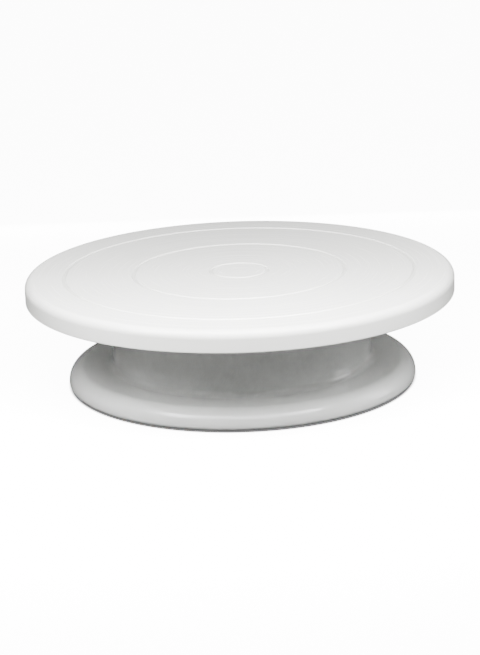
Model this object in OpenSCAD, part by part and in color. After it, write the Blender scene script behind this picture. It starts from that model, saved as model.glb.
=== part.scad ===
// Cake decorating turntable.
// A moulded plate spins on a caged ball thrust bearing over a hollow moulded
// base. Lengths are millimetres. The origin is the centre of the underside,
// at the level of the table, and +Z is the spin axis.

/* [Plate] */
// Diameter of the plate
plate_d = 280; // [260:1:300]
// Height of the plate's top above the table
total_h = 72.5; // [72.5:0.5:80]
// Depth of the plate's rim
rim_h = 14; // [12:0.5:16]
// Wall thickness of the plate and its rim
plate_t = 3; // [2.6:0.1:3.4]
// Rounding of the plate's top edge
plate_edge_r = 5; // [4:0.5:6]
// Radius of the outer guide ring
ring_outer_r = 114.2; // [105:0.1:120]
// Radius of the middle guide ring
ring_middle_r = 69; // [60:0.1:80]
// Radius of the centre guide ring
ring_centre_r = 18.3; // [14:0.1:22]
// Width of the guide rings
ring_w = 3; // [2:0.1:4]
// Depth of the guide rings
ring_depth = 0.7; // [0.3:0.1:0.8]
// Number of radial ribs under the plate
plate_ribs = 12; // [12, 24]

/* [Base] */
// Diameter of the foot
foot_d = 228.6; // [220:0.1:240]
// Height of the flat on top of the foot
foot_h = 13.5; // [13:0.5:15]
// Rounding of the foot's shoulder
shoulder_r = 10; // [8:0.5:10]
// Diameter of the pedestal where it meets the foot
pedestal_d = 170; // [160:1:174]
// Height of the pedestal's deck
deck_h = 56; // [56:0.5:58]
// Draft of the pedestal's wall, from bottom to top
pedestal_draft = 2.5; // [1:0.5:4]
// Wall thickness of the base
base_t = 3; // [2.6:0.1:3.4]
// Number of ribs under the deck
deck_ribs = 8; // [8, 16]

/* [Bearing] */
// Diameter of the steel balls
ball_d = 6; // [6:0.1:6.1]
// Radius of the balls' pitch circle
pitch_r = 33; // [32.5:0.1:33.5]
// Space between a ball and its race
race_gap = 0.1; // [0.08:0.01:0.12]
// Diameter of the spindle
spindle_d = 8; // [7.9:0.1:8]

/* [Feet] */
// Radius of the circle that the rubber feet stand on
foot_circle_r = 100; // [98:0.5:102]
// How far the rubber feet stand proud of the base
foot_proud = 1; // [0.8:0.1:1.2]

/* [Hidden] */
$fn = 96;
arc_steps = 8;              // straight steps in a quarter turn of a profile
bite = 0.5;                 // how far a rib runs into the wall that it joins
ball_count = 12;            // each ball has its own node
foot_count = 4;             // each rubber foot has its own node

// Colours
white_plastic = "#f2f2ef";
natural_nylon = "#e8e2cf";
bright_steel = "#c9ccd0";
zinc_plate = "#b9bcc0";
dark_rubber = "#3a3a3c";

// Plate
plate_r = plate_d / 2;
rim_z = total_h - rim_h;                 // bottom of the rim
under_z = total_h - plate_t;             // underside of the flat
rim_lip_r = 1;                           // rounding of the rim's bottom edge
plate_rib_t = 2;
plate_rib_z = under_z - 3;               // bottom of the ribs outside the collars
plate_rib_turn = 180 / plate_ribs;
ring_rib_radii = [66, 101];

// Bearing, from the deck upwards
ball_r = ball_d / 2;
race_h = 2.5;
race_flange_t = 1.2;
race_in_r = pitch_r - 6;
race_out_r = pitch_r + 6;
flange_r = 49;
groove_r = ball_r + race_gap;
groove_depth = 1.2;
ball_z = deck_h + race_h - groove_depth + ball_r;
upper_race_z = ball_z + ball_r - groove_depth;        // underside of the upper race
pad_z = upper_race_z + race_h;                        // where the plate rests on it
cage_h = 2.4;
cage_in_r = pitch_r - 4.2;
cage_out_r = pitch_r + 4.2;
pocket_r = ball_r + 0.15;
seat_in_r = flange_r + 0.2;                           // collar that centres a race
seat_out_r = seat_in_r + 2;

// Race screws
screw_circle_r = 44.5;
screw_count = 4;
screw_r = 1.75;
screw_hole_r = 1.9;
screw_head_r = 3.3;
screw_head_h = 2;
screw_boss_r = 3.8;
lower_screw_len = 6;
upper_screw_len = 5.8;

// Spindle, bushes, washers and nut
spindle_r = spindle_d / 2;
hub_z = deck_h + 4;                      // bottom of the plate's hub
hub_r = 10;
spindle_top_z = under_z + 1;
collar_r = 7;
collar_h = 2;
thread_r = spindle_r - 0.1;
thread_top_z = 21;
spindle_end_z = 9.5;
bush_bore_r = spindle_r + 0.05;
bush_r = 6;
bush_flange_r = 8.5;
bush_flange_t = 1.5;
bush_sleeve_h = 12;
tube_z = 24;                             // bottom of the base's hub tube
tube_r = 9.5;
washer_bore_r = spindle_r + 0.2;
washer_r = 8;
thrust_washer_z = tube_z - bush_flange_t - 1.2;
disc_spring_z = thrust_washer_z - 1.3;
plain_washer_z = disc_spring_z - 1;
nut_z = plain_washer_z - 8;
nut_corner_r = 13 / 2 / cos(30);         // 13 mm across the flats
nut_collar_r = 5.6;
nut_collar_h = 1.5;

// Base
foot_r = foot_d / 2;
wall_r = pedestal_d / 2;
top_wall_r = wall_r - pedestal_draft;
foot_lip_r = min(2.4, foot_h - shoulder_r - foot_proud - 0.05);  // rounding of its bottom edge
fillet_r = 4;                            // blend between the foot and the pedestal
deck_edge_r = 4;                         // rounding of the deck's edge
deck_under_z = deck_h - base_t;
deck_rib_t = 2.2;
deck_rib_h = 3.5;
deck_rib_turn = 180 / deck_ribs;
boss_under_z = deck_under_z - deck_rib_h;  // bottom of the deck's screw bosses
foot_turn = 45;                          // angle of the first rubber foot
foot_boss_r = 8.5;
foot_pad_r = 6.8;
foot_recess_r = 7;
foot_recess_h = 1.4;
foot_peg_r = 2.5;
foot_peg_h = 5;

// Points along an arc about [cx, cy], from angle a0 to a1
function arc(cx, cy, r, a0, a1, n = arc_steps) =
    [for (i = [0 : n]) let (a = a0 + (a1 - a0) * i / n) [cx + r * cos(a), cy + r * sin(a)]];

// Ring of rectangular section
module ring(r_in, r_out, z0, z1) {
    rotate_extrude()
        translate([r_in, z0])
            square([r_out - r_in, z1 - z0]);
}

// Copies its children round the spin axis
module around(count, turn = 0) {
    for (i = [0 : count - 1])
        rotate(turn + i * 360 / count)
            children();
}

// Outline of the plate's half section, without its guide rings
module plate_section() {
    polygon(concat(
        [[0, under_z], [0, total_h]],
        arc(plate_r - plate_edge_r, total_h - plate_edge_r, plate_edge_r, 90, 0),
        arc(plate_r - rim_lip_r, rim_z + rim_lip_r, rim_lip_r, 0, -90, 4),
        arc(plate_r - plate_t + rim_lip_r, rim_z + rim_lip_r, rim_lip_r, -90, -180, 4),
        arc(plate_r - plate_edge_r, total_h - plate_edge_r, plate_edge_r - plate_t, 0, 90)));
}

// Guide ring cut into the plate's top
module guide_ring(r) {
    ring(r - ring_w / 2, r + ring_w / 2, total_h - ring_depth, total_h + 1);
}

// Two collars and a hub under the plate, and the ribs that join them to the rim
module plate_underside() {
    ring(spindle_r, hub_r, hub_z, under_z + bite);
    ring(race_in_r, race_in_r + plate_rib_t, pad_z, under_z + bite);
    ring(race_out_r - plate_rib_t, race_out_r, pad_z, under_z + bite);
    ring(seat_in_r, seat_out_r, upper_race_z + race_flange_t, under_z + bite);
    for (r = ring_rib_radii)
        ring(r - plate_rib_t / 2, r + plate_rib_t / 2, plate_rib_z, under_z + bite);
    around(screw_count)
        translate([screw_circle_r, 0, pad_z])
            cylinder(r = screw_boss_r, h = under_z + bite - pad_z);
    around(plate_ribs, plate_rib_turn) {
        translate([hub_r - bite, -plate_rib_t / 2, pad_z])
            cube([seat_in_r + bite - hub_r, plate_rib_t, under_z + bite - pad_z]);
        translate([seat_out_r - bite, -plate_rib_t / 2, plate_rib_z])
            cube([plate_r - plate_t + 2 * bite - seat_out_r, plate_rib_t, under_z + bite - plate_rib_z]);
    }
}

// White moulded plate
module top_plate() {
    color(white_plastic)
        difference() {
            union() {
                rotate_extrude()
                    plate_section();
                plate_underside();
            }
            guide_ring(ring_outer_r);
            guide_ring(ring_middle_r);
            guide_ring(ring_centre_r);
            translate([0, 0, hub_z - 1])
                cylinder(r = spindle_r, h = spindle_top_z - hub_z + 1);
            around(screw_count)
                translate([screw_circle_r, 0, pad_z - 1])
                    cylinder(r = screw_r, h = upper_screw_len);
        }
}

// Outline of the base's half section: foot, shoulder, pedestal, deck and hub tube
module base_section() {
    shoulder_z = foot_h - shoulder_r;
    deck_edge_x = top_wall_r - deck_edge_r;
    polygon(concat(
        arc(foot_r - foot_lip_r, foot_proud + foot_lip_r, foot_lip_r, -90, 0, 4),
        arc(foot_r - shoulder_r, shoulder_z, shoulder_r, 0, 90),
        arc(wall_r + fillet_r, foot_h + fillet_r, fillet_r, 270, 180),
        arc(deck_edge_x, deck_h - deck_edge_r, deck_edge_r, 0, 90),
        [[bush_r, deck_h], [bush_r, tube_z], [tube_r, tube_z], [tube_r, deck_under_z]],
        arc(deck_edge_x, deck_h - deck_edge_r, deck_edge_r - base_t, 90, 0, 4),
        arc(wall_r + fillet_r, foot_h + fillet_r, fillet_r + base_t, 180, 270),
        arc(foot_r - shoulder_r, shoulder_z, shoulder_r - base_t, 90, 0),
        [[foot_r - base_t, foot_proud]]));
}

// White moulded base, open underneath
module base_shell() {
    color(white_plastic)
        difference() {
            union() {
                rotate_extrude()
                    base_section();
                ring(seat_in_r, seat_out_r, deck_h - bite, deck_h + race_flange_t);
                around(deck_ribs, deck_rib_turn)
                    translate([tube_r - bite, -deck_rib_t / 2, deck_under_z - deck_rib_h])
                        cube([top_wall_r - base_t + 2 * bite - tube_r, deck_rib_t, deck_rib_h + bite]);
                around(screw_count)
                    translate([screw_circle_r, 0, boss_under_z])
                        cylinder(r = screw_boss_r, h = deck_under_z + bite - boss_under_z);
                around(foot_count, foot_turn)
                    translate([foot_circle_r, 0, foot_proud])
                        cylinder(r = foot_boss_r, h = foot_h - base_t + bite - foot_proud);
            }
            around(screw_count)
                translate([screw_circle_r, 0, boss_under_z + 1])
                    cylinder(r = screw_r, h = deck_h - boss_under_z);
            around(foot_count, foot_turn)
                translate([foot_circle_r, 0, foot_proud - 1]) {
                    cylinder(r = foot_recess_r, h = foot_recess_h + 1);
                    cylinder(r = foot_peg_r, h = foot_recess_h + foot_peg_h + 1.5);
                }
        }
}

// Half section of a race that lies with its groove upwards
module race_section() {
    difference() {
        union() {
            translate([race_in_r, 0])
                square([race_out_r - race_in_r, race_h]);
            translate([race_out_r - bite, 0])
                square([flange_r - race_out_r + bite, race_flange_t]);
        }
        translate([pitch_r, race_h - groove_depth + ball_r])
            circle(r = groove_r);
    }
}

// Steel race with its groove upwards and its underside at z = 0
module race() {
    difference() {
        rotate_extrude()
            race_section();
        around(screw_count)
            translate([screw_circle_r, 0, -1])
                cylinder(r = screw_hole_r, h = race_flange_t + 2);
    }
}

// Race on the base's deck
module lower_race() {
    color(bright_steel)
        translate([0, 0, deck_h])
            race();
}

// Race under the plate, turned over
module upper_race() {
    color(bright_steel)
        translate([0, 0, pad_z])
            rotate([180, 0, 0])
                race();
}

// Ring that spaces the balls and holds each one in a round pocket
module ball_cage() {
    color(natural_nylon)
        difference() {
            ring(cage_in_r, cage_out_r, ball_z - cage_h / 2, ball_z + cage_h / 2);
            around(ball_count)
                translate([pitch_r, 0, ball_z])
                    sphere(r = pocket_r);
        }
}

// One bearing ball; the first lies on +X and the rest follow anticlockwise
module ball(i) {
    color(bright_steel)
        rotate((i - 1) * 360 / ball_count)
            translate([pitch_r, 0, ball_z])
                sphere(r = ball_r);
}

// Steel pin: pressed end, collar, running shaft and threaded end
module spindle() {
    tip = 0.8;
    color(zinc_plate)
        rotate_extrude()
            polygon([
                [0, spindle_end_z], [thread_r - tip, spindle_end_z], [thread_r, spindle_end_z + tip],
                [thread_r, thread_top_z], [spindle_r, thread_top_z], [spindle_r, hub_z - collar_h],
                [collar_r, hub_z - collar_h], [collar_r, hub_z], [spindle_r, hub_z],
                [spindle_r, spindle_top_z - tip], [spindle_r - tip, spindle_top_z], [0, spindle_top_z]]);
}

// Flanged bush with its sleeve below the flange, which rests on z = 0
module bush() {
    ring(bush_bore_r, bush_flange_r, 0, bush_flange_t);
    ring(bush_bore_r, bush_r, -bush_sleeve_h, bite);
}

// Bush in the top of the hub tube
module upper_bush() {
    color(natural_nylon)
        translate([0, 0, deck_h])
            bush();
}

// Bush in the bottom of the hub tube
module lower_bush() {
    color(natural_nylon)
        translate([0, 0, tube_z])
            rotate([180, 0, 0])
                bush();
}

// Nylon washer that turns against the lower bush
module thrust_washer() {
    color(natural_nylon)
        ring(washer_bore_r, washer_r, thrust_washer_z, thrust_washer_z + 1.1);
}

// Dished steel washer that takes up end play
module disc_spring() {
    steel_t = 0.6;
    color(zinc_plate)
        rotate_extrude()
            polygon([
                [washer_bore_r, thrust_washer_z - steel_t], [washer_bore_r, thrust_washer_z],
                [washer_r, disc_spring_z + steel_t], [washer_r, disc_spring_z]]);
}

// Flat steel washer on the nut
module plain_washer() {
    color(zinc_plate)
        ring(washer_bore_r, washer_r, plain_washer_z, disc_spring_z);
}

// Hexagon nut with a round locking collar at its lower end
module lock_nut() {
    color(zinc_plate)
        difference() {
            union() {
                translate([0, 0, nut_z + nut_collar_h])
                    cylinder(r = nut_corner_r, h = plain_washer_z - nut_z - nut_collar_h, $fn = 6);
                translate([0, 0, nut_z])
                    cylinder(r = nut_collar_r, h = nut_collar_h + bite);
            }
            translate([0, 0, nut_z - 1])
                cylinder(r = thread_r, h = plain_washer_z - nut_z + 2);
        }
}

// Pan-head screw with a cross recess; its head sits on z = 0 and it points down
module pan_screw(length) {
    recess_l = 3.4;
    recess_w = 0.8;
    difference() {
        union() {
            rotate_extrude()
                polygon(concat(
                    [[0, 0], [screw_head_r, 0], [screw_head_r, screw_head_h / 2]],
                    arc(screw_head_r - 1, screw_head_h / 2, 1, 0, 90, 4),
                    [[0, screw_head_h]]));
            translate([0, 0, -length + 1])
                cylinder(r = screw_r, h = length - 1 + bite);
            translate([0, 0, -length])
                cylinder(r1 = screw_r / 2, r2 = screw_r, h = 1);
        }
        for (a = [0, 90])
            rotate(a)
                translate([-recess_l / 2, -recess_w / 2, screw_head_h - 1])
                    cube([recess_l, recess_w, 2]);
    }
}

// Screws that hold the lower race to the deck
module lower_race_screws() {
    color(zinc_plate)
        around(screw_count)
            translate([screw_circle_r, 0, deck_h + race_flange_t])
                pan_screw(lower_screw_len);
}

// Screws that hold the upper race to the plate
module upper_race_screws() {
    color(zinc_plate)
        around(screw_count)
            translate([screw_circle_r, 0, pad_z - race_flange_t])
                rotate([180, 0, 0])
                    pan_screw(upper_screw_len);
}

// One push-in rubber foot: a pad with a rounded edge and a peg
module rubber_foot(i) {
    pad_h = foot_proud + foot_recess_h;
    edge_r = 0.6;
    color(dark_rubber)
        rotate(foot_turn + (i - 1) * 360 / foot_count)
            translate([foot_circle_r, 0, 0])
                rotate_extrude()
                    polygon(concat(
                        [[0, 0]],
                        arc(foot_pad_r - edge_r, edge_r, edge_r, -90, 0, 4),
                        [[foot_pad_r, pad_h], [foot_peg_r, pad_h], [foot_peg_r, pad_h + foot_peg_h - 1],
                         [foot_peg_r - 1, pad_h + foot_peg_h], [0, pad_h + foot_peg_h]]));
}

top_plate();
base_shell();
spindle();
upper_race();
lower_race();
ball_cage();
upper_bush();
lower_bush();
thrust_washer();
disc_spring();
plain_washer();
lock_nut();
upper_race_screws();
lower_race_screws();
ball(1);  // ball_01
ball(2);  // ball_02
ball(3);  // ball_03
ball(4);  // ball_04
ball(5);  // ball_05
ball(6);  // ball_06
ball(7);  // ball_07
ball(8);  // ball_08
ball(9);  // ball_09
ball(10);  // ball_10
ball(11);  // ball_11
ball(12);  // ball_12
rubber_foot(1);  // rubber_foot_1
rubber_foot(2);  // rubber_foot_2
rubber_foot(3);  // rubber_foot_3
rubber_foot(4);  // rubber_foot_4
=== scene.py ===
"""Cake decorating turntable: its visible surfaces and finishes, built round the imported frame."""

import math

import bpy
import numpy as np
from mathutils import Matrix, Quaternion, Vector


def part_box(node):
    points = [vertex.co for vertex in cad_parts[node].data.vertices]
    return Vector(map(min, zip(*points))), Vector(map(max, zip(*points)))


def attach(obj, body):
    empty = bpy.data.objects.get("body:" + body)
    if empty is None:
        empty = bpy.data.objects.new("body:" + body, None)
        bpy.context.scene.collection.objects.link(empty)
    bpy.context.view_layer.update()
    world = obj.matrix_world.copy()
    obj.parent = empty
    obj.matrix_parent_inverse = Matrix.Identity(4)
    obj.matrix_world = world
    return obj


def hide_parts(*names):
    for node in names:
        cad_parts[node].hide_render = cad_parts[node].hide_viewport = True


bl_info = {
    "name": "Cake Turntable",
    "version": (1, 0, 0),
    "blender": (4, 5, 0),
    "location": "3D View > Sidebar > Turntable",
    "description": "Builds a moulded cake turntable with its bearing, feet, finishes and studio",
    "category": "Add Mesh",
}

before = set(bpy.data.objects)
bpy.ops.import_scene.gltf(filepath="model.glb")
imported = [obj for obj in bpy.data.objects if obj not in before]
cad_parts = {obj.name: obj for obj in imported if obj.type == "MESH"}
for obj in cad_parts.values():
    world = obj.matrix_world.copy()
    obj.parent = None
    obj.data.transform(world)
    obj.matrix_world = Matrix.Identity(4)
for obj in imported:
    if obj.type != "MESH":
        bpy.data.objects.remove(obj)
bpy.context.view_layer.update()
MM = 0.001
BALLS = [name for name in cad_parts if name.startswith("ball_") and name != "ball_cage"]
FEET = [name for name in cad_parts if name.startswith("rubber_foot_")]


def reach(node):
    """Outer radius, lowest and highest point of a node that turns about the spin axis, in millimetres."""
    low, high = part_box(node)
    return round(high[0] / MM, 2), round(low[2] / MM, 2), round(high[2] / MM, 2)


PLATE_R, RIM_Z, TOP_Z = reach("top_plate")
FOOT_R, BASE_Z, _ = reach("base_shell")
RACE_R, DECK_Z, _ = reach("lower_race")
_, RACE_UNDER_Z, PAD_Z = reach("upper_race")
SPINDLE_COLLAR_R, SPINDLE_LOW_Z, SPINDLE_TOP_Z = reach("spindle")
NUT_CORNER_R, NUT_LOW_Z, NUT_TOP_Z = reach("lock_nut")

# Sizes in millimetres. The plate
PLATE_T = 3.0                # wall of the plate
UNDER_Z = TOP_Z - PLATE_T
PLATE_RIBS = 12
PLATE_RIB_T = 2.0
PLATE_RIB_H = 3.0
HUB_R = 10.0
HUB_Z = DECK_Z + 4.0         # lower end of the plate's hub
OUTER_RIB_R = 100.0, 102.0   # inner and outer radius of the two ring ribs
INNER_RIB_R = 65.0, 67.0
OUTER_PAD_R = 37.0, 39.0     # and of the two ring pads that press on the upper race
INNER_PAD_R = 27.0, 29.0

# The base
BASE_T = 3.0                 # wall of the base
FOOT_TOP_Z = 13.5            # top face of the foot
WALL_R = 85.0                # pedestal at the foot
WALL_TOP_R = 82.5            # pedestal at the deck
DECK_UNDER_Z = DECK_Z - BASE_T
DECK_RIBS = 8
DECK_RIB_T = 2.2
DECK_RIB_H = 3.5
TUBE_R = 9.5
TUBE_Z = 24.0                # lower end of the hub tube

# The spindle and what is threaded on it
SPINDLE_R = 4.0
THREAD_R = 3.9
THREAD_TOP_Z = 21.0
BUSH_R = 6.0
BUSH_BORE_R = 4.05
BUSH_FLANGE_R = 8.5
BUSH_FLANGE_T = 1.5
BUSH_SLEEVE = 12.0
WASHER_BORE_R = 4.2
WASHER_R = 8.0
SPRING_T = 0.6

# The walls that hold the races, and the bosses for their screws
SEAT_R = RACE_R + 0.2
SEAT_T = 2.0
SEAT_H = 1.2
SCREWS = 4
SCREW_CIRCLE_R = 44.5
SCREW_R = 1.75
SCREW_BOSS_R = 3.8

# The feet
FOOT_CIRCLE_R = 100.0
FOOT_BOSS_R = 8.5
FOOT_RECESS_R = 7.0
FOOT_RECESS_H = 1.4
FOOT_SOCKET_H = 7.9          # height of the peg's hole above the base's lower edge
FOOT_PAD_R = 6.8
FOOT_PEG_R = 2.5
FOOT_PEG_H = 5.0

OVERLAP = 0.5                # how far a rib or boss reaches into the wall that carries it
FINE = 288                   # steps round a large turned or moulded piece
SMALL = 72                   # steps round a small one


# Surfaces -----------------------------------------------------------------------------------------


def unit(v):
    """A vector's direction."""
    return v / np.linalg.norm(v)


def outline(*corners, steps=8, closed=False, guard=0.25):
    """Outline through (r, z, rounding) corners. A rounded corner is an arc that touches both of its
    sides, with one point on each side, `guard` away from the arc, so that shading stays crisp."""
    points = []
    count = len(corners)
    for i, (r, z, rounding) in enumerate(corners):
        here = np.array([r, z], float)
        if not rounding or (not closed and i in (0, count - 1)):
            points.append(here[None])
            continue
        to_before = unit(np.array(corners[i - 1][:2]) - here)
        to_after = unit(np.array(corners[(i + 1) % count][:2]) - here)
        half = math.acos(np.clip(to_before @ to_after, -1, 1)) / 2
        run = rounding / math.tan(half)
        middle = here + unit(to_before + to_after) * rounding / math.sin(half)
        first = here + to_before * run - middle
        last = here + to_after * run - middle
        start = math.atan2(first[1], first[0])
        turn = math.atan2(first[0] * last[1] - first[1] * last[0], first @ last)
        a = start + turn * np.linspace(0, 1, steps + 1)
        arc = middle + rounding * np.stack([np.cos(a), np.sin(a)], axis=1)
        points += [(here + to_before * (run + guard))[None], arc, (here + to_after * (run + guard))[None]]
    return np.concatenate(points)


def grid_faces(rows, columns, wrap_rows, wrap_columns):
    """Quads of a grid of rows by columns, joined end to end where it wraps."""
    i = np.arange(rows if wrap_rows else rows - 1)
    j = np.arange(columns if wrap_columns else columns - 1)
    i, j = np.meshgrid(i, j, indexing="ij")
    i2, j2 = (i + 1) % rows, (j + 1) % columns
    quads = np.stack([i * columns + j, i * columns + j2, i2 * columns + j2, i2 * columns + j], axis=-1)
    return quads.reshape(-1, 4)


def outward(points, faces):
    """The faces, turned over if they enclose a negative volume, so that all of them point out."""
    volume = 0.0
    for group in faces:
        a, b, c = points[group[:, 0]], points[group[:, 1]], points[group[:, 2]]
        volume += np.einsum("ij,ij->i", a, np.cross(b, c)).sum()
        if group.shape[1] == 4:
            d = points[group[:, 3]]
            volume += np.einsum("ij,ij->i", a, np.cross(c, d)).sum()
    return faces if volume > 0 else [group[:, ::-1] for group in faces]


def turned(profile, steps=FINE, closed=False, centre=(0.0, 0.0), shape=None):
    """Surface of revolution: the point at profile position (r, z) and angle a is
    (r cos a, r sin a, z) plus the centre. `shape(r, a, z)` may change r. A profile that starts or
    ends on the axis is closed there with one pole."""
    a = np.linspace(0, 2 * np.pi, steps, endpoint=False)
    r, z = profile[:, 0], profile[:, 1]
    start_pole = not closed and r[0] < 1e-9
    end_pole = not closed and r[-1] < 1e-9
    rows = slice(1 if start_pole else 0, len(r) - (1 if end_pole else 0))
    rr, aa = np.meshgrid(r[rows], a, indexing="ij")
    zz = np.repeat(z[rows, None], steps, axis=1)
    if shape is not None:
        rr = shape(rr, aa, zz)
    grid = np.stack([rr * np.cos(aa) + centre[0], rr * np.sin(aa) + centre[1], zz], axis=-1)
    count = grid.shape[0]
    points = grid.reshape(-1, 3)
    faces = [grid_faces(count, steps, closed, True)]
    ring = np.arange(steps)
    if start_pole:
        points = np.vstack([points, [centre[0], centre[1], z[0]]])
        faces.append(np.stack([np.full(steps, len(points) - 1), np.roll(ring, -1), ring], axis=1))
    if end_pole:
        points = np.vstack([points, [centre[0], centre[1], z[-1]]])
        last = (count - 1) * steps + ring
        faces.append(np.stack([np.full(steps, len(points) - 1), last, np.roll(last, -1)], axis=1))
    return points, outward(points, faces)


def bar(x0, x1, low, high, thick, angle, draft=0.02, rounding=0.5):
    """Straight rib that runs outwards from x0 to x1 at an angle about the spin axis. Its section is a
    rectangle from `low` to `high` whose sides lean in by `draft` and whose low edges are rounded. The
    section is carried along x and both ends are closed with a fan about their middle."""
    half = thick / 2
    tip = half - draft * (high - low)
    quarter = np.linspace(0, np.pi / 2, 5)
    y_arc = tip - rounding + rounding * np.cos(quarter)
    z_arc = low + rounding - rounding * np.sin(quarter)
    y = np.concatenate([[half], y_arc, -y_arc[::-1], [-half]])
    z = np.concatenate([[high], z_arc, z_arc[::-1], [high]])
    c, s = math.cos(angle), math.sin(angle)
    grid = np.stack([np.stack([x * c - y * s, x * s + y * c, z], axis=-1) for x in (x0, x1)])
    points = grid.reshape(-1, 3)
    faces = [grid_faces(2, len(y), False, True)]
    ring = np.arange(len(y))
    for row in (0, 1):
        points = np.vstack([points, grid[row].mean(axis=0)])
        edge = row * len(y) + ring
        pair = (np.roll(edge, -1), edge) if row == 0 else (edge, np.roll(edge, -1))
        faces.append(np.stack([np.full(len(y), len(points) - 1), *pair], axis=1))
    return points, outward(points, faces)


def around(count, turn=0.0):
    """Angles of `count` places spaced evenly round the spin axis."""
    return [turn + 2 * math.pi * i / count for i in range(count)]


def on_circle(radius, angle):
    """The place on a circle about the spin axis."""
    return radius * math.cos(angle), radius * math.sin(angle)


def build(name, surfaces, body, material, nodes, sharp=40):
    """Makes one piece from closed surfaces given in millimetres. It rides on a body, stands for CAD
    nodes and takes a material; edges sharper than `sharp` degrees stay crisp."""
    points, faces, first = [], [], 0
    for part_points, part_faces in surfaces:
        points.append(part_points)
        for group in part_faces:
            faces += (group + first).tolist()
        first += len(part_points)
    mesh = bpy.data.meshes.new(name)
    mesh.from_pydata((np.concatenate(points) * MM).tolist(), [], faces)
    mesh.polygons.foreach_set("use_smooth", np.ones(len(mesh.polygons), bool))
    mesh.set_sharp_from_angle(angle=math.radians(sharp))
    mesh.materials.append(material)
    mesh.validate()
    piece = bpy.data.objects.new(name, mesh)
    bpy.context.scene.collection.objects.link(piece)
    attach(piece, body)
    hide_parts(*nodes)
    return piece


# Materials ----------------------------------------------------------------------------------------


def linear(code):
    """Linear colour from an sRGB hex code such as #F0F0EC."""
    part = [int(code[i:i + 2], 16) / 255 for i in (1, 3, 5)]
    return tuple(v / 12.92 if v <= 0.04045 else ((v + 0.055) / 1.055) ** 2.4 for v in part) + (1.0,)


def add(tree, kind, inputs=(), **settings):
    """Adds a node. `inputs` is a list of (socket, value), where a value may be another node's output."""
    node = tree.nodes.new(kind)
    for key, value in settings.items():
        setattr(node, key, value)
    for socket, value in inputs:
        if isinstance(value, bpy.types.NodeSocket):
            tree.links.new(value, node.inputs[socket])
        else:
            node.inputs[socket].default_value = value
    return node


def new_material(name, **values):
    """A material with one Principled shader whose sockets take the given values."""
    material = bpy.data.materials.get(name)
    if material:
        return material, None, None
    material = bpy.data.materials.new(name)
    material.use_nodes = True
    shader = material.node_tree.nodes["Principled BSDF"]
    for key, value in values.items():
        shader.inputs[key.replace("_", " ")].default_value = value
    return material, material.node_tree, shader


def noise(tree, vector, period, detail=2.0):
    """Noise whose features are about `period` millimetres across."""
    node = add(tree, "ShaderNodeTexNoise",
               [("Vector", vector), ("Scale", 1 / (period * MM)), ("Detail", detail)])
    return node.outputs["Fac"]


def spread(tree, value, low, high):
    """Turns a noise value, which stays mostly between 0.3 and 0.7, into the range low to high."""
    node = add(tree, "ShaderNodeMapRange",
               [("Value", value), ("From Min", 0.3), ("From Max", 0.7), ("To Min", low), ("To Max", high)])
    return node.outputs["Result"]


def blend(tree, factor, first, second):
    """Colour between two colours, each a value or a node's output."""
    node = add(tree, "ShaderNodeMix", [("Factor", factor), (6, first), (7, second)], data_type="RGBA")
    return node.outputs[2]


def maths(tree, operation, *values):
    """Result of one step of arithmetic on numbers or on nodes' outputs."""
    return add(tree, "ShaderNodeMath", list(enumerate(values)), operation=operation).outputs[0]


def vector_maths(tree, operation, *values):
    """Result of one step of arithmetic on vectors or on nodes' outputs."""
    return add(tree, "ShaderNodeVectorMath", list(enumerate(values)), operation=operation).outputs[0]


def by_ray(tree, other_rays, camera_rays):
    """One surface for rays from the camera and another one for all other rays."""
    ray = add(tree, "ShaderNodeLightPath").outputs["Is Camera Ray"]
    return add(tree, "ShaderNodeMixShader", [(0, ray), (1, other_rays), (2, camera_rays)]).outputs[0]


def two_tone(tree, value, dark, light):
    """Colour between two hex codes, chosen by a noise value."""
    return blend(tree, spread(tree, value, 0, 1), linear(dark), linear(light))


def bump(tree, shader, height, depth, strength):
    """Bump of the given depth in millimetres on a shader."""
    node = add(tree, "ShaderNodeBump",
               [("Height", height), ("Distance", depth * MM), ("Strength", strength)])
    tree.links.new(node.outputs["Normal"], shader.inputs["Normal"])


def polar(tree):
    """Coordinates that run round the spin axis: distance from the axis, the direction from it as a
    unit vector, and the height."""
    place = add(tree, "ShaderNodeTexCoord").outputs["Object"]
    flat = vector_maths(tree, "MULTIPLY", place, (1, 1, 0))
    distance = add(tree, "ShaderNodeVectorMath", [(0, flat)], operation="LENGTH").outputs["Value"]
    direction = vector_maths(tree, "NORMALIZE", flat)
    height = add(tree, "ShaderNodeSeparateXYZ", [(0, place)]).outputs["Z"]
    return place, distance, direction, height


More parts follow.
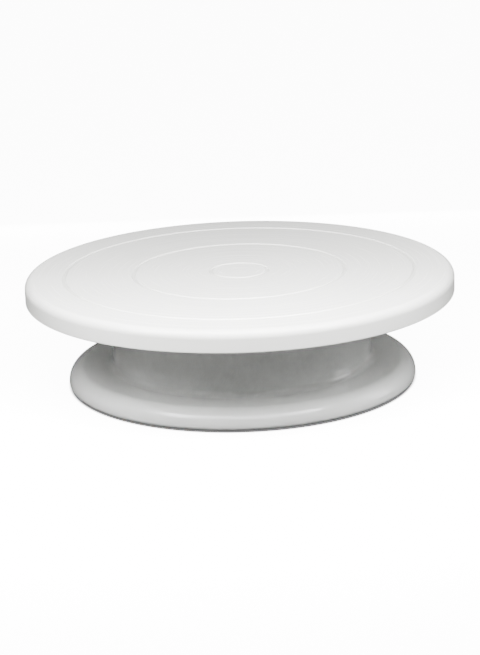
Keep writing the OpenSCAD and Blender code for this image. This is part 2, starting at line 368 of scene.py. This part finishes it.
def plate_plastic():
    """White ABS, injection moulded in a satin tool: near-white, a soft sheen, hardly any grain, faint
    clouding where the melt flowed out from the middle, and fine circular scuffs from use."""
    colours = bpy.context.scene.turntable_colours
    material, tree, shader = new_material("white_abs_satin_moulded", IOR=1.53)
    if shader is None:
        return material
    place, distance, direction, height = polar(tree)
    cloud = noise(tree, place, 70)
    clean = two_tone(tree, cloud, colours.plate_shade, colours.plate_white)
    # Painted shade in the guide rings: darker below the face, and inside the rounded edge
    below = add(tree, "ShaderNodeMapRange", [("Value", height), ("From Min", (TOP_Z - 0.3) * MM),
                                             ("From Max", (TOP_Z - 0.6) * MM)]).outputs["Result"]
    inside = maths(tree, "LESS_THAN", distance, (PLATE_R - 10) * MM)
    dust_and_painted_shade = maths(tree, "MULTIPLY", below, inside)
    tree.links.new(blend(tree, dust_and_painted_shade, clean, linear(colours.ring_painted_shade)), shader.inputs["Base Color"])
    # Hairlines that run round the axis, broken up along their length
    hairline, period = 0.6, 20
    ring = maths(tree, "MULTIPLY", distance, period / hairline)
    across = add(tree, "ShaderNodeCombineXYZ", [("X", ring)]).outputs[0]
    wander = vector_maths(tree, "MULTIPLY_ADD", direction, (0.0, 0.03, 0.03), across)
    scuff = noise(tree, wander, period, detail=3)
    tree.links.new(spread(tree, scuff, 0.21, 0.29), shader.inputs["Roughness"])
    grain = noise(tree, place, 0.9)
    bump(tree, shader, maths(tree, "MULTIPLY_ADD", grain, 0.5, scuff), 0.02, 0.5)
    return material


def base_plastic():
    """White polystyrene, injection moulded in a polished tool: a touch cooler than the plate, with faint
    upright draw marks on the pedestal's wall. A thin clear coat stands for the gloss of its moulded
    skin, which darkens towards the outline where it mirrors the dim surround."""
    colours = bpy.context.scene.turntable_colours
    material, tree, shader = new_material("white_polystyrene_gloss_moulded", IOR=1.58, Coat_Weight=0.5,
                                          Coat_Roughness=0.12)
    if shader is None:
        return material
    place, _, direction, height = polar(tree)
    white = two_tone(tree, noise(tree, place, 60), colours.base_shade, colours.base_white)
    tree.links.new(white, shader.inputs["Base Color"])
    # Draw marks about 4 mm apart round the wall and ten times as long up it
    up = add(tree, "ShaderNodeCombineXYZ", [("Z", height)]).outputs[0]
    on_wall = vector_maths(tree, "MULTIPLY_ADD", direction, (WALL_R * MM, WALL_R * MM, 0.0), up)
    draw = noise(tree, vector_maths(tree, "MULTIPLY", on_wall, (1, 1, 0.1)), 4)
    tree.links.new(spread(tree, draw, 0.13, 0.22), shader.inputs["Roughness"])
    bump(tree, shader, draw, 0.01, 0.3)
    return material


def nylon():
    """Natural nylon 6, moulded: warm translucent white with a dull sheen."""
    material, tree, shader = new_material("natural_nylon_moulded", IOR=1.53, Subsurface_Weight=0.15,
                                          Subsurface_Scale=0.002)
    if shader is None:
        return material
    place = add(tree, "ShaderNodeTexCoord").outputs["Object"]
    cloud = noise(tree, place, 5)
    tree.links.new(two_tone(tree, cloud, "#DCD4BE", "#E8E2CF"), shader.inputs["Base Color"])
    tree.links.new(spread(tree, cloud, 0.42, 0.5), shader.inputs["Roughness"])
    bump(tree, shader, noise(tree, place, 0.5), 0.02, 0.3)
    return material


def rubber():
    """Dark grey nitrile rubber, moulded: matt, slightly dusty, with a fine grain."""
    material, tree, shader = new_material("nitrile_rubber_moulded", IOR=1.52, Specular_IOR_Level=0.35)
    if shader is None:
        return material
    place = add(tree, "ShaderNodeTexCoord").outputs["Object"]
    dust_and_painted_shade = noise(tree, place, 3, detail=4)
    tree.links.new(two_tone(tree, dust_and_painted_shade, "#2E2E30", "#434346"), shader.inputs["Base Color"])
    tree.links.new(spread(tree, dust_and_painted_shade, 0.62, 0.8), shader.inputs["Roughness"])
    bump(tree, shader, noise(tree, place, 0.4, detail=3), 0.04, 0.5)
    return material


def turned_steel():
    """Carbon steel, turned and ground: bright, with fine rings about the spin axis."""
    material, tree, shader = new_material("carbon_steel_turned", Metallic=1.0)
    if shader is None:
        return material
    place, distance, _, _ = polar(tree)
    tone = noise(tree, place, 12)
    tree.links.new(two_tone(tree, tone, "#B4B6B8", "#C8CACC"), shader.inputs["Base Color"])
    tree.links.new(spread(tree, tone, 0.24, 0.34), shader.inputs["Roughness"])
    # Lathe rings 0.3 mm apart
    turns = maths(tree, "MULTIPLY", distance, 2 * math.pi / (0.3 * MM))
    bump(tree, shader, maths(tree, "SINE", turns), 0.004, 0.6)
    return material


def zinc_plate():
    """Steel with bright zinc plating: bluish silver, cloudy, softly reflective."""
    material, tree, shader = new_material("steel_bright_zinc_plated", Metallic=1.0)
    if shader is None:
        return material
    place = add(tree, "ShaderNodeTexCoord").outputs["Object"]
    cloud = noise(tree, place, 2.5, detail=4)
    tree.links.new(two_tone(tree, cloud, "#A9AFB5", "#C6CBD0"), shader.inputs["Base Color"])
    tree.links.new(spread(tree, cloud, 0.26, 0.42), shader.inputs["Roughness"])
    bump(tree, shader, noise(tree, place, 0.6), 0.01, 0.4)
    return material


def ball_steel():
    """Hardened chrome steel, lapped: a mirror finish under a thin film of grease."""
    material, tree, shader = new_material("chrome_steel_lapped", Metallic=1.0)
    if shader is None:
        return material
    place = add(tree, "ShaderNodeTexCoord").outputs["Object"]
    film = noise(tree, place, 2)
    tree.links.new(two_tone(tree, film, "#C3C5C8", "#D2D4D6"), shader.inputs["Base Color"])
    tree.links.new(spread(tree, film, 0.06, 0.14), shader.inputs["Roughness"])
    return material


# Sizes and colours --------------------------------------------------------------------------------


class TurntableSizes(bpy.types.PropertyGroup):
    """Sizes of the details that the frame leaves to the surfaces."""

    outer_ring: bpy.props.FloatProperty(
        name="Outer guide ring", description="Radius of the outer guide ring",
        default=114.2 * MM, unit="LENGTH")
    middle_ring: bpy.props.FloatProperty(
        name="Middle guide ring", description="Radius of the middle guide ring",
        default=69.0 * MM, unit="LENGTH")
    centre_ring: bpy.props.FloatProperty(
        name="Centre guide ring", description="Radius of the centre guide ring",
        default=18.3 * MM, unit="LENGTH")
    ring_width: bpy.props.FloatProperty(
        name="Ring width", description="Width of each guide ring", default=3.0 * MM, unit="LENGTH")
    ring_depth: bpy.props.FloatProperty(
        name="Ring depth", description="Depth of each guide ring", default=0.7 * MM, unit="LENGTH")
    plate_edge: bpy.props.FloatProperty(
        name="Plate edge", description="Rounding of the plate's top edge", default=5.0 * MM, unit="LENGTH")
    shoulder: bpy.props.FloatProperty(
        name="Shoulder", description="Rounding of the foot's shoulder", default=10.0 * MM, unit="LENGTH")


class TurntableColours(bpy.types.PropertyGroup):
    """Colours of the plastics and the stage, as sRGB hex codes."""

    plate_white: bpy.props.StringProperty(
        name="Plate", description="White of the plate", default="#F0F0ED")
    plate_shade: bpy.props.StringProperty(
        name="Plate clouding", description="Darker white in the plate's clouding", default="#ECECE8")
    # Painted shade for the guide ring grooves
    ring_painted_shade: bpy.props.StringProperty(
        name="Ring painted shade", description="Darker white inside the guide rings", default="#DCDCD8")
    base_white: bpy.props.StringProperty(
        name="Base", description="White of the base", default="#EDEEEC")
    base_shade: bpy.props.StringProperty(
        name="Base clouding", description="Darker white in the base's clouding", default="#E8E9E7")
    floor_white: bpy.props.StringProperty(
        name="Floor", description="Colour of the studio floor where it is seen", default="#FFFFFF")
    floor_return: bpy.props.StringProperty(
        name="Floor return", description="Colour of the light that the floor throws back", default="#454545")
    surround: bpy.props.StringProperty(
        name="Surround", description="Colour of the dim light from all round", default="#F3F5F8")
    backdrop: bpy.props.StringProperty(
        name="Backdrop", description="Colour behind the turntable where it is seen", default="#FFFFFF")


# Pieces -------------------------------------------------------------------------------------------


def ring_dip(radius, width, depth, level):
    """Corners of a guide ring across the plate's section: a shallow channel with a flat floor, leaning
    walls and softly rounded lips."""
    wall, lip = depth * 0.9, depth * 0.4
    return [(radius - width / 2, level, lip), (radius - width / 2 + wall, level - depth, lip),
            (radius + width / 2 - wall, level - depth, lip), (radius + width / 2, level, lip)]


def collar(r_in, r_out, end, root, rounding=0.4):
    """Four corners of a ring rib that stands on `root` and ends at `end`. Its sides lean in a little,
    and the outline that it belongs to runs inwards."""
    return [(r_out, root, rounding), (r_out - 0.05, end, rounding),
            (r_in + 0.05, end, rounding), (r_in, root, rounding)]


class TURNTABLE_OT_plate(bpy.types.Operator):
    """Moulded plate: rounded rim, three guide rings on top, and hub, collars and ribs below"""

    bl_idname = "turntable.plate"
    bl_label = "Plate"

    def execute(self, context):
        sizes = context.scene.turntable_sizes
        width, depth = sizes.ring_width / MM, sizes.ring_depth / MM
        edge = sizes.plate_edge / MM
        rings = [r / MM for r in (sizes.centre_ring, sizes.middle_ring, sizes.outer_ring)]
        dips = [corner for radius in rings for corner in ring_dip(radius, width, depth, TOP_Z)]
        face_r = rings[-1] + width
        inner_r = PLATE_R - PLATE_T
        rib_z = UNDER_Z - PLATE_RIB_H
        root_z = UNDER_Z + OVERLAP
        seat_z = RACE_UNDER_Z + 1.3
        top = outline((0, TOP_Z, 0), *dips, (face_r, TOP_Z, 0), steps=4, guard=0.06)
        rim = outline((face_r + 1, TOP_Z, 0), (PLATE_R, TOP_Z, edge), (PLATE_R, RIM_Z, 1.0),
                      (inner_r, RIM_Z, 1.0), (inner_r, rib_z - 1, 0), steps=10)
        below = outline(
            (inner_r, rib_z, 0), (inner_r, UNDER_Z, 2.0),
            *collar(*OUTER_RIB_R, rib_z, UNDER_Z), *collar(*INNER_RIB_R, rib_z, UNDER_Z),
            *collar(SEAT_R, SEAT_R + SEAT_T, seat_z, UNDER_Z),
            *collar(*OUTER_PAD_R, PAD_Z, UNDER_Z), *collar(*INNER_PAD_R, PAD_Z, UNDER_Z),
            (HUB_R, UNDER_Z, 0.8), (HUB_R, HUB_Z, 0.5), (SPINDLE_R, HUB_Z, 0.4),
            (SPINDLE_R, SPINDLE_TOP_Z, 0), (0, SPINDLE_TOP_Z, 0), steps=4)
        surfaces = [turned(np.concatenate([top, rim, below]))]
        for angle in around(PLATE_RIBS, math.pi / PLATE_RIBS):
            surfaces.append(bar(HUB_R - OVERLAP, SEAT_R + OVERLAP, PAD_Z, root_z, PLATE_RIB_T, angle))
            surfaces.append(bar(SEAT_R + 1.5, inner_r + OVERLAP, rib_z, root_z, PLATE_RIB_T, angle))
        boss = outline((SCREW_R, PAD_Z, 0.3), (SCREW_BOSS_R, PAD_Z, 0.4), (SCREW_BOSS_R + 0.1, root_z, 0),
                       (SCREW_R, root_z, 0), closed=True)
        for angle in around(SCREWS):
            surfaces.append(turned(boss, SMALL, True, on_circle(SCREW_CIRCLE_R, angle)))
        build("plate", surfaces, "plate", plate_plastic(), ["top_plate"])
        return {"FINISHED"}


class TURNTABLE_OT_base(bpy.types.Operator):
    """Moulded base: foot with a soft shoulder, pedestal, deck, hub tube, and ribs and bosses below"""

    bl_idname = "turntable.base"
    bl_label = "Base"

    def execute(self, context):
        shoulder = context.scene.turntable_sizes.shoulder / MM
        lean = (WALL_R - WALL_TOP_R) / (DECK_Z - FOOT_TOP_Z)
        ceiling = FOOT_TOP_Z - BASE_T
        seat_out, seat_top = SEAT_R + SEAT_T, DECK_Z + SEAT_H
        section = outline(
            (FOOT_R - BASE_T, BASE_Z, 0.5), (FOOT_R, BASE_Z, 2.4), (FOOT_R, FOOT_TOP_Z, shoulder),
            (WALL_R, FOOT_TOP_Z, 4.0), (WALL_TOP_R, DECK_Z, 4.0),
            (seat_out, DECK_Z, 0.4), (seat_out, seat_top, 0.4), (SEAT_R, seat_top, 0.4),
            (SEAT_R, DECK_Z, 0.2), (BUSH_R, DECK_Z, 0.3), (BUSH_R, TUBE_Z, 0.3), (TUBE_R, TUBE_Z, 0.5),
            (TUBE_R, DECK_UNDER_Z, 0.8), (WALL_TOP_R - BASE_T + lean * BASE_T, DECK_UNDER_Z, 1.0),
            (WALL_R - BASE_T, ceiling, 7.0), (FOOT_R - BASE_T, ceiling, shoulder - BASE_T),
            closed=True, steps=12, guard=0.04)
        surfaces = [turned(section, closed=True)]
        rib_z = DECK_UNDER_Z - DECK_RIB_H
        root_z = DECK_UNDER_Z + OVERLAP
        rib_end = WALL_TOP_R - BASE_T + OVERLAP
        for angle in around(DECK_RIBS, math.pi / DECK_RIBS):
            surfaces.append(bar(TUBE_R - OVERLAP, rib_end, rib_z, root_z, DECK_RIB_T, angle))
        boss = outline((SCREW_R, rib_z, 0.3), (SCREW_BOSS_R, rib_z, 0.5), (SCREW_BOSS_R + 0.2, root_z, 0),
                       (SCREW_R, root_z, 0), closed=True)
        for angle in around(SCREWS):
            surfaces.append(turned(boss, SMALL, True, on_circle(SCREW_CIRCLE_R, angle)))
        socket_z = BASE_Z + FOOT_SOCKET_H
        recess_z = BASE_Z + FOOT_RECESS_H
        boss_top = ceiling + OVERLAP
        socket = outline(
            (0, socket_z, 0), (FOOT_PEG_R, socket_z, 0), (FOOT_PEG_R, recess_z, 0.2),
            (FOOT_RECESS_R, recess_z, 0.2), (FOOT_RECESS_R, BASE_Z, 0.2), (FOOT_BOSS_R, BASE_Z, 0.4),
            (FOOT_BOSS_R + 0.2, boss_top, 0), (0, boss_top, 0))
        for angle in around(len(FEET), math.pi / 4):
            surfaces.append(turned(socket, SMALL, False, on_circle(FOOT_CIRCLE_R, angle)))
        build("base", surfaces, "base", base_plastic(), ["base_shell"])
        return {"FINISHED"}


class TURNTABLE_OT_feet(bpy.types.Operator):
    """Push-in rubber feet, each with a ringed tread and a barbed peg"""

    bl_idname = "turntable.feet"
    bl_label = "Rubber feet"

    def execute(self, context):
        seat = BASE_Z + FOOT_RECESS_H
        groove, ridge = 0.7, 0.15
        neck = FOOT_PEG_R - 0.2
        foot = outline(
            (0, groove, 0), (2.2, groove, 0.2), (2.2, ridge, 0.3), (3.4, ridge, 0.3), (3.4, groove, 0.2),
            (4.6, groove, 0.2), (4.6, 0, 0.3), (FOOT_PAD_R, 0, 0.6), (FOOT_PAD_R, seat, 0.2),
            (neck, seat, 0.2), (neck, seat + 1.6, 0), (FOOT_PEG_R, seat + 1.8, 0),
            (FOOT_PEG_R - 0.3, seat + 3.2, 0), (FOOT_PEG_R, seat + 3.4, 0),
            (FOOT_PEG_R - 1, seat + FOOT_PEG_H, 0), (0, seat + FOOT_PEG_H, 0), steps=5, guard=0.08)
        for name, angle in zip(sorted(FEET), around(len(FEET), math.pi / 4)):
            surface = turned(foot, SMALL, False, on_circle(FOOT_CIRCLE_R, angle))
            build(name.replace("rubber_foot", "foot_pad"), [surface], "base", rubber(), [name])
        return {"FINISHED"}


class TURNTABLE_OT_spindle(bpy.types.Operator):
    """Steel spindle: pressed end, collar, ground running shaft and a threaded lower end"""

    bl_idname = "turntable.spindle"
    bl_label = "Spindle"

    def execute(self, context):
        pitch, depth = 1.25, 0.55
        start, end = SPINDLE_LOW_Z + 0.8, THREAD_TOP_Z - 0.6
        thread_z = np.linspace(start, end, 150)
        thread = np.stack([np.full_like(thread_z, THREAD_R), thread_z], axis=1)
        collar_z = HUB_Z - 2
        shaft = outline(
            (THREAD_R, THREAD_TOP_Z - 0.3, 0), (SPINDLE_R, THREAD_TOP_Z, 0), (SPINDLE_R, collar_z, 0.2),
            (SPINDLE_COLLAR_R, collar_z, 0.4), (SPINDLE_COLLAR_R, HUB_Z, 0.3), (SPINDLE_R, HUB_Z, 0.1),
            (SPINDLE_R, SPINDLE_TOP_Z - 0.8, 0.2), (SPINDLE_R - 0.8, SPINDLE_TOP_Z, 0.2),
            (0, SPINDLE_TOP_Z, 0))
        tip = outline((0, SPINDLE_LOW_Z, 0), (THREAD_R - 0.8, SPINDLE_LOW_Z, 0.1),
                      (THREAD_R, start - 0.01, 0))

        def cut_thread(r, a, z):
            """Lowers the surface along a helix: the groove's depth is a triangle wave of the height
            less the pitch times the turn, and fades out at both ends of the thread."""
            phase = (z / pitch - a / (2 * np.pi)) % 1.0
            groove = depth * np.abs(2 * phase - 1)
            return r - groove * np.clip((z - start) / pitch, 0, 1) * np.clip((end - z) / pitch, 0, 1)

        surface = turned(np.concatenate([tip, thread, shaft]), 64, shape=cut_thread)
        build("spindle_pin", [surface], "plate", zinc_plate(), ["spindle"])
        return {"FINISHED"}


class TURNTABLE_OT_hardware(bpy.types.Operator):
    """Lock nut, washers, disc spring and the two flanged bushes"""

    bl_idname = "turntable.hardware"
    bl_label = "Nut, washers and bushes"

    def execute(self, context):
        flat = NUT_CORNER_R * math.cos(math.pi / 6)
        chamfer_r, chamfer_h = flat - 0.1, 0.7
        collar_r, collar_z = 5.6, NUT_LOW_Z + 1.5
        section = outline(
            (THREAD_R, NUT_LOW_Z, 0.2), (collar_r, NUT_LOW_Z, 0.4), (collar_r, collar_z, 0),
            (chamfer_r, collar_z, 0), (NUT_CORNER_R, collar_z + chamfer_h, 0),
            (NUT_CORNER_R, NUT_TOP_Z - chamfer_h, 0), (chamfer_r, NUT_TOP_Z, 0), (THREAD_R, NUT_TOP_Z, 0.2),
            closed=True, steps=4)

        def hexagon(r, a, z):
            """Holds the surface inside six flats: the distance to a flat over the cosine of the angle
            from the flat's middle."""
            return np.minimum(r, flat / np.cos(a % (math.pi / 3) - math.pi / 6))

        nut = turned(section, 144, True, shape=hexagon)
        build("nut", [nut], "plate", zinc_plate(), ["lock_nut"], sharp=25)
        for name, node, slot, finish, rounding in (
                ("washer_plain", "plain_washer", "zinc_steel", zinc_plate, 0.2),
                ("washer_thrust", "thrust_washer", "nylon", nylon, 0.3)):
            _, low, high = reach(node)
            section = outline(
                (WASHER_BORE_R, low, rounding), (WASHER_R, low, rounding), (WASHER_R, high, rounding),
                (WASHER_BORE_R, high, rounding), closed=True, steps=4, guard=0.1)
            build(name, [turned(section, SMALL, True)], "plate", finish(), [node])
        _, low, high = reach("disc_spring")
        section = outline(
            (WASHER_BORE_R, high - SPRING_T, 0.1), (WASHER_R, low, 0.1), (WASHER_R, low + SPRING_T, 0.1),
            (WASHER_BORE_R, high, 0.1), closed=True, steps=4, guard=0.1)
        spring = turned(section, SMALL, True)
        build("spring_disc", [spring], "plate", zinc_plate(), ["disc_spring"])
        for name, node, face, way in (("bush_top", "upper_bush", DECK_Z, 1),
                                      ("bush_bottom", "lower_bush", TUBE_Z, -1)):
            flange_z, sleeve_z = face + way * BUSH_FLANGE_T, face - way * BUSH_SLEEVE
            section = outline(
                (BUSH_BORE_R, flange_z, 0.3), (BUSH_FLANGE_R, flange_z, 0.4), (BUSH_FLANGE_R, face, 0.1),
                (BUSH_R, face, 0.1), (BUSH_R, sleeve_z, 0.5), (BUSH_BORE_R, sleeve_z, 0.3),
                closed=True, steps=5, guard=0.1)
            build(name, [turned(section, SMALL, True)], "base", nylon(), [node])
        return {"FINISHED"}


class TURNTABLE_OT_bearing(bpy.types.Operator):
    """Finishes of the races, the cage, the balls and the race screws, whose CAD shapes stay"""

    bl_idname = "turntable.bearing"
    bl_label = "Bearing finishes"

    def execute(self, context):
        finishes = {"upper_race": turned_steel, "lower_race": turned_steel, "ball_cage": nylon,
                    "upper_race_screws": zinc_plate, "lower_race_screws": zinc_plate}
        finishes.update({name: ball_steel for name in BALLS})
        for node, finish in finishes.items():
            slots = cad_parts[node].material_slots
            if not slots:
                raise RuntimeError(f"{node} has no material slot")
            for slot in slots:
                slot.material = finish()
        return {"FINISHED"}


# Studio -------------------------------------------------------------------------------------------


def aim(back, roll=0.0):
    """Rotation of a camera or lamp that looks against the direction `back`, turned by `roll` about its
    line of sight."""
    return (-back).to_track_quat("-Z", "Y") @ Quaternion((0, 0, 1), roll)


def softbox(name, place, target, size, power):
    """A soft light of the given width and height that looks at a target."""
    data = bpy.data.lights.new(name, "AREA")
    data.shape, data.energy = "RECTANGLE", power
    data.size, data.size_y = size
    lamp = bpy.data.objects.new(name, data)
    bpy.context.scene.collection.objects.link(lamp)
    lamp.location = place
    lamp.visible_camera = False
    lamp.rotation_mode = "QUATERNION"
    lamp.rotation_quaternion = aim((Vector(place) - Vector(target)).normalized())
    return lamp


class TURNTABLE_OT_stage(bpy.types.Operator):
    """White floor, soft studio light and the camera"""

    bl_idname = "turntable.stage"
    bl_label = "Studio"

    def execute(self, context):
        scene = context.scene
        self.floor(scene)
        self.lights(scene)
        self.camera(scene)
        return {"FINISHED"}

    def floor(self, scene):
        """A round floor, white and softly lit where the camera sees it, as a lit sweep is. It throws
        little light back, so that the base stays in shade."""
        colours = scene.turntable_colours
        profile = np.array([[0.0, 0.0], [1.0, 0.0], [4.0, 0.0], [12.0, 0.0]]) / MM
        points, faces = turned(profile, 96)
        mesh = bpy.data.meshes.new("floor")
        mesh.from_pydata((points * MM).tolist(), [], [face for group in faces for face in group.tolist()])
        floor = bpy.data.objects.new("floor", mesh)
        scene.collection.objects.link(floor)
        material = bpy.data.materials.new("studio_sweep_white")
        material.use_nodes = True
        tree = material.node_tree
        tree.nodes.clear()
        # Painted contact shadow: dark where the base all but touches it, and full white 1 mm outside the
        # base's edge
        _, distance, _, _ = polar(tree)
        clear = add(tree, "ShaderNodeMapRange",
                    [("Value", distance), ("From Min", (FOOT_R - 1) * MM), ("From Max", (FOOT_R + 1) * MM),
                     ("To Min", 0.02)]).outputs["Result"]
        white = vector_maths(tree, "MULTIPLY", linear(colours.floor_white)[:3], clear)
        paper = add(tree, "ShaderNodeBsdfDiffuse", [("Color", white)]).outputs[0]
        glow = add(tree, "ShaderNodeEmission", [("Color", white), ("Strength", 12.0)]).outputs[0]
        seen = add(tree, "ShaderNodeAddShader", [(0, paper), (1, glow)]).outputs[0]
        soft = add(tree, "ShaderNodeBsdfDiffuse", [("Color", linear(colours.floor_return))]).outputs[0]
        add(tree, "ShaderNodeOutputMaterial", [("Surface", by_ray(tree, soft, seen))])
        mesh.materials.append(material)

    def lights(self, scene):
        """Softboxes above, in front, at both sides and behind, and a dim even surround that the camera
        sees as a white backdrop."""
        centre = (0.0, 0.0, TOP_Z * MM)
        near_rim = (0.0, -PLATE_R * MM, RIM_Z * MM)
        front_foot = (0.0, -FOOT_R * MM, 0.0)
        back_foot = (0.0, FOOT_R * MM, 0.03)
        softbox("softbox_overhead", (0.0, 0.0, 1.0), centre, (0.8, 0.8), 2.6)
        softbox("softbox_high", (0.0, -0.17, 0.30), near_rim, (0.5, 0.08), 4.0)
        softbox("softbox_near", (0.0, -0.20, 0.22), near_rim, (0.5, 0.08), 2.3)
        softbox("strip_front", (0.0, -0.315, 0.228), front_foot, (0.6, 0.05), 0.95)
        softbox("softbox_left_front", (-0.26, -0.22, 0.25), near_rim, (0.2, 0.1), 0.45)
        softbox("softbox_left", (-0.36, 0.0, 0.30), centre, (0.16, 0.60), 0.55)
        softbox("softbox_right", (0.36, 0.0, 0.30), centre, (0.16, 0.60), 1.3)
        softbox("softbox_back", (0.0, 0.60, 0.45), centre, (0.90, 0.40), 0.5)
        # A fill for views from behind, without a mirror image that would glint along the base's outline
        fill = softbox("strip_back", (0.0, 0.45, 0.04), back_foot, (0.6, 0.05), 0.8)
        fill.visible_glossy = False
        colours = scene.turntable_colours
        world = scene.world or bpy.data.worlds.new("studio")
        scene.world = world
        world.use_nodes = True
        tree = world.node_tree
        tree.nodes.clear()
        dim = add(tree, "ShaderNodeBackground",
                  [("Color", linear(colours.surround)), ("Strength", 0.07)]).outputs[0]
        bright = add(tree, "ShaderNodeBackground",
                     [("Color", linear(colours.backdrop)), ("Strength", 16.0)]).outputs[0]
        add(tree, "ShaderNodeOutputWorld", [("Surface", by_ray(tree, dim, bright))])

    def camera(self, scene):
        """Long lens, a little above the plate, with a slight roll."""
        elevation, roll = math.radians(16.45), math.radians(-1.89)
        distance, lens = 1.45, 120.35
        target = Vector((-0.0007, 0.0091, 0.0308))
        back = Vector((0, -math.cos(elevation), math.sin(elevation)))
        data = bpy.data.cameras.new("camera")
        data.lens = lens
        camera = bpy.data.objects.new("camera", data)
        scene.collection.objects.link(camera)
        camera.location = target + back * distance
        camera.rotation_mode = "QUATERNION"
        camera.rotation_quaternion = aim(back, roll)
        scene.camera = camera


class TURNTABLE_PT_panel(bpy.types.Panel):
    """Sizes, colours and the pieces that can be built"""

    bl_idname = "TURNTABLE_PT_panel"
    bl_label = "Cake turntable"
    bl_space_type = "VIEW_3D"
    bl_region_type = "UI"
    bl_category = "Turntable"

    def draw(self, context):
        for group in (context.scene.turntable_sizes, context.scene.turntable_colours):
            for name in group.__annotations__:
                self.layout.prop(group, name)
        for operator in OPERATORS:
            self.layout.operator(operator.bl_idname)


OPERATORS = (TURNTABLE_OT_plate, TURNTABLE_OT_base, TURNTABLE_OT_feet, TURNTABLE_OT_spindle,
             TURNTABLE_OT_hardware, TURNTABLE_OT_bearing, TURNTABLE_OT_stage)
CLASSES = (TurntableSizes, TurntableColours, *OPERATORS, TURNTABLE_PT_panel)


def register():
    """Adds the classes and their settings to Blender."""
    for cls in CLASSES:
        bpy.utils.register_class(cls)
    bpy.types.Scene.turntable_sizes = bpy.props.PointerProperty(type=TurntableSizes)
    bpy.types.Scene.turntable_colours = bpy.props.PointerProperty(type=TurntableColours)


def unregister():
    """Takes them out again."""
    del bpy.types.Scene.turntable_colours
    del bpy.types.Scene.turntable_sizes
    for cls in reversed(CLASSES):
        bpy.utils.unregister_class(cls)


def main():
    """Builds every piece and the studio."""
    register()
    for operator in OPERATORS:
        group, name = operator.bl_idname.split(".")
        getattr(getattr(bpy.ops, group), name)()


if __name__ == "__main__":
    main()
